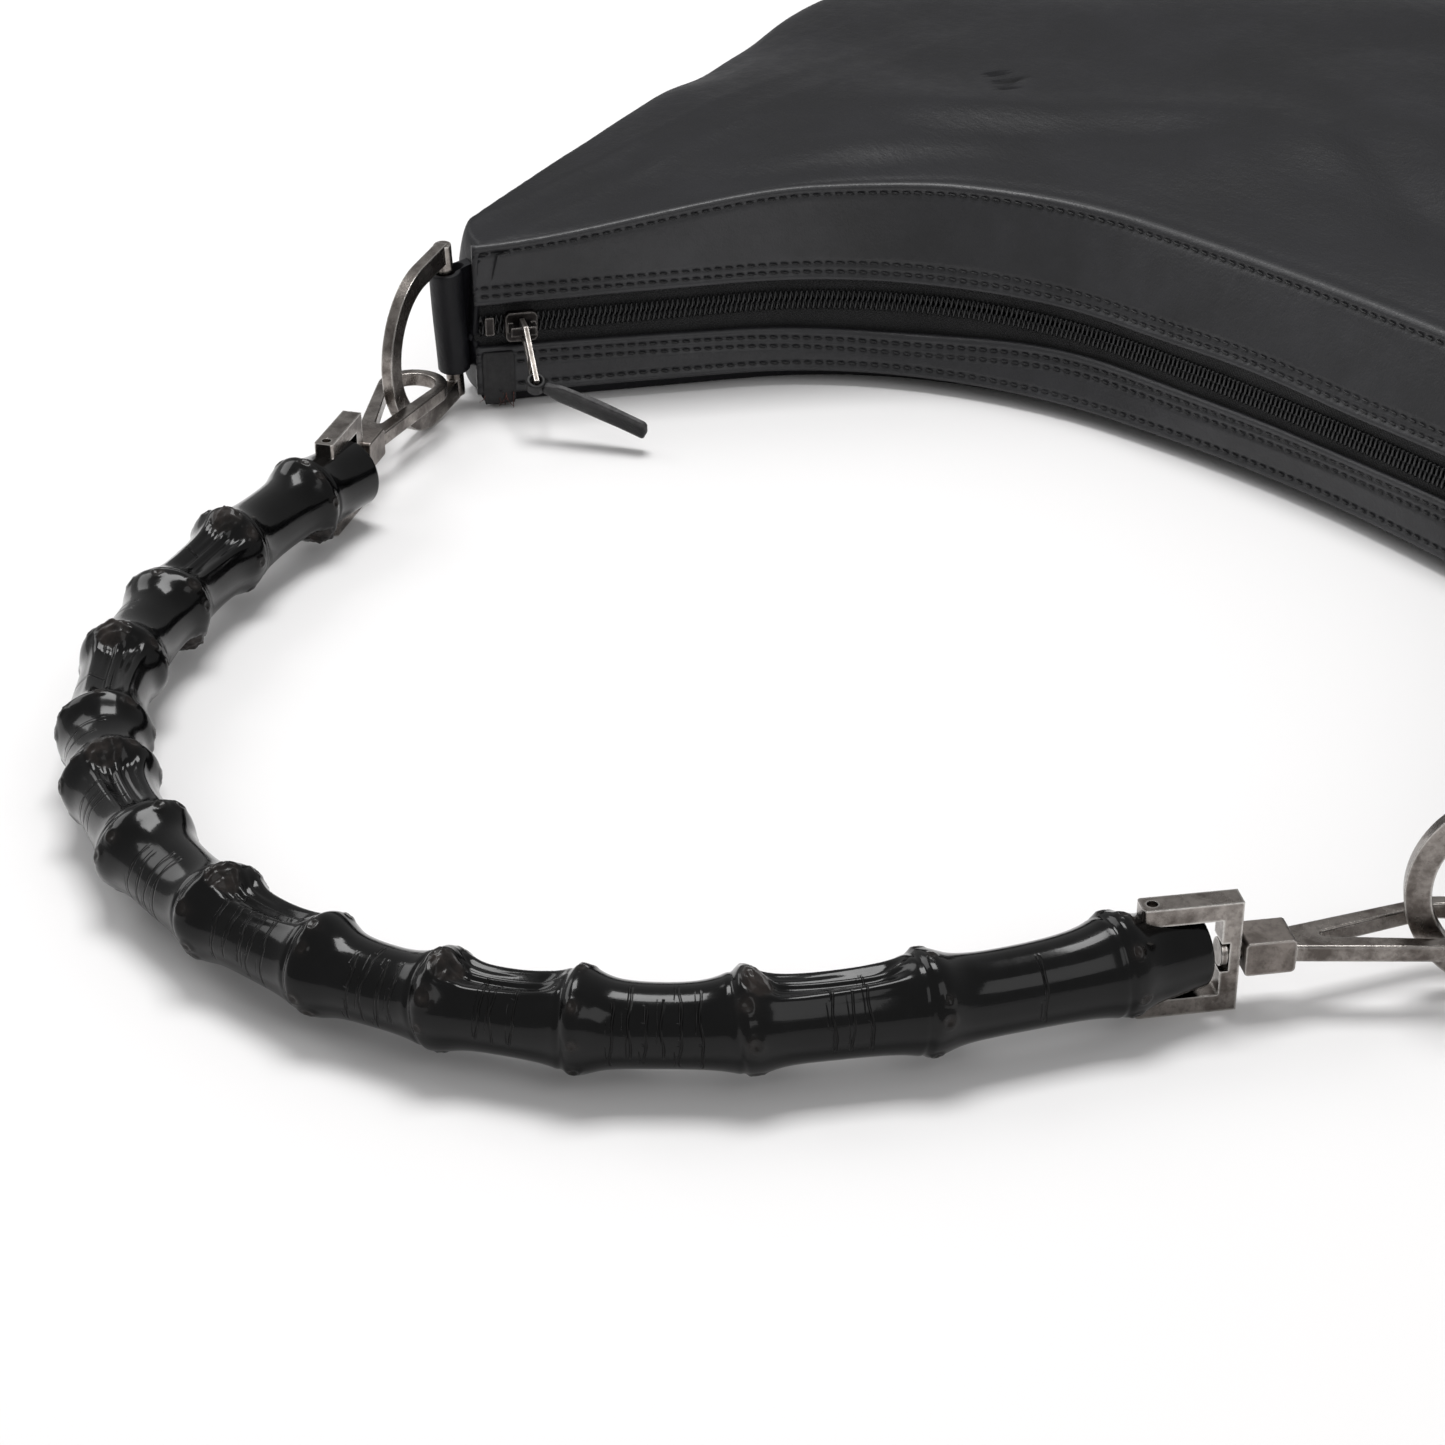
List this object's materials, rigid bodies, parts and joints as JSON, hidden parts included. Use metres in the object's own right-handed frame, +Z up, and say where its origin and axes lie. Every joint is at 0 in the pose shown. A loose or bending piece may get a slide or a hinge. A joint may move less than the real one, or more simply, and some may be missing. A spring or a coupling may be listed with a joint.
{
  "type": "shoulder bag",
  "caption": "Crescent leather shoulder bag with a zipped mouth, hanging by D-rings and swivel eyes from a bent cane handle.",
  "frame": {"origin": "on the table under the middle of the bounding box, bag lying on its back panel", "axes": "+X across the bag to the right ear, +Y from the handle to the bag bottom, +Z up out of the front panel"},
  "size_m": [0.528, 0.5512, 0.078],
  "materials": {
    "calf_leather": "satin",
    "band_leather": "satin",
    "tab_leather": "worn satin",
    "lining_cloth": "woven",
    "zip_tape": "woven",
    "zip_coil": "nylon, semi-gloss",
    "gunmetal": "aged satin",
    "dark_gunmetal": "aged satin, darker patina",
    "lacquered_cane": "black gloss lacquer"
  },
  "bodies": {
    "bag": {"front_panel": "calf_leather", "back_panel": "calf_leather", "front_lining": "lining_cloth", "back_lining": "lining_cloth", "inner_pocket": "lining_cloth", "front_band": "band_leather", "back_band": "band_leather", "front_zip_tape": "zip_tape", "back_zip_tape": "zip_tape", "front_zip_coil": "zip_coil", "back_zip_coil": "zip_coil", "zip_end_tab_left": "tab_leather", "zip_end_tab_right": "tab_leather", "zip_stop_left": "gunmetal", "zip_stop_right": "gunmetal", "chape_left": "calf_leather", "chape_right": "calf_leather"},
    "handle": {"bamboo_handle": "lacquered_cane", "handle_pin_left": "gunmetal", "handle_pin_right": "gunmetal"},
    "ring_left": {"d_ring_left": "gunmetal"},
    "clevis_left": {"clevis_left": "gunmetal"},
    "eye_left": {"eye_left": "gunmetal", "swivel_block_left": "dark_gunmetal", "swivel_post_left": "gunmetal"},
    "ring_right": {"d_ring_right": "gunmetal"},
    "clevis_right": {"clevis_right": "gunmetal"},
    "eye_right": {"eye_right": "gunmetal", "swivel_block_right": "dark_gunmetal", "swivel_post_right": "gunmetal"},
    "slider": {"zip_slider": "gunmetal"},
    "puller": {"zip_puller": "gunmetal"},
    "pull_tab": {"pull_tab": "tab_leather"}
  },
  "joints": [
    {"name": "handle_swing", "type": "hinge", "parent": "bag", "child": "handle", "pos_m": [0, -0.07336, 0.02104], "axis": [-1, 0, 0], "range_deg": [0, 36]},
    {"name": "clevis_left_turn", "type": "hinge", "parent": "handle", "child": "clevis_left", "pos_m": [-0.14733, -0.13363, 0.0128], "axis": [0, 0, 1], "range_deg": [-1, 1.5]},
    {"name": "eye_left_swivel", "type": "hinge", "parent": "clevis_left", "child": "eye_left", "pos_m": [-0.15751, -0.11854, 0.0128], "axis": [-0.5592, 0.829, 0], "range_deg": [-3, 3]},
    {"name": "ring_left_turn", "type": "hinge", "parent": "bag", "child": "ring_left", "pos_m": [-0.1895, -0.0635, 0.0255], "axis": [0.0475, -0.0931, 0.9945], "range_deg": [-6, 6]},
    {"name": "clevis_right_turn", "type": "hinge", "parent": "handle", "child": "clevis_right", "pos_m": [0.13533, -0.13363, 0.0128], "axis": [0, 0, 1], "range_deg": [-3, 3]},
    {"name": "eye_right_swivel", "type": "hinge", "parent": "clevis_right", "child": "eye_right", "pos_m": [0.1447, -0.11803, 0.0128], "axis": [0.515, 0.8572, 0], "range_deg": [-5, 5]},
    {"name": "ring_right_turn", "type": "hinge", "parent": "bag", "child": "ring_right", "pos_m": [0.1895, -0.0635, 0.0255], "axis": [-0.0777, -0.0699, 0.9945], "range_deg": [-6, 6]},
    {"name": "zip_slide", "type": "slide", "parent": "bag", "child": "slider", "axis": [0.4661, 0.8847, 0], "range_m": [0, 0.044]},
    {"name": "puller_turn", "type": "hinge", "parent": "slider", "child": "puller", "pos_m": [-0.17424, -0.05014, 0.024], "axis": [0, 0, 1], "range_deg": [-35, 8]},
    {"name": "pull_tab_turn", "type": "hinge", "parent": "puller", "child": "pull_tab", "pos_m": [-0.15763, -0.0589, 0.01581], "axis": [0.4557, -0.2401, 0.8572], "range_deg": [-78, 10]}
  ],
  "couplings": [
    {"joint": "ring_left_turn", "follows": "clevis_left_turn", "ratio": -1.75},
    {"joint": "ring_right_turn", "follows": "clevis_right_turn", "ratio": -1.7}
  ]
}
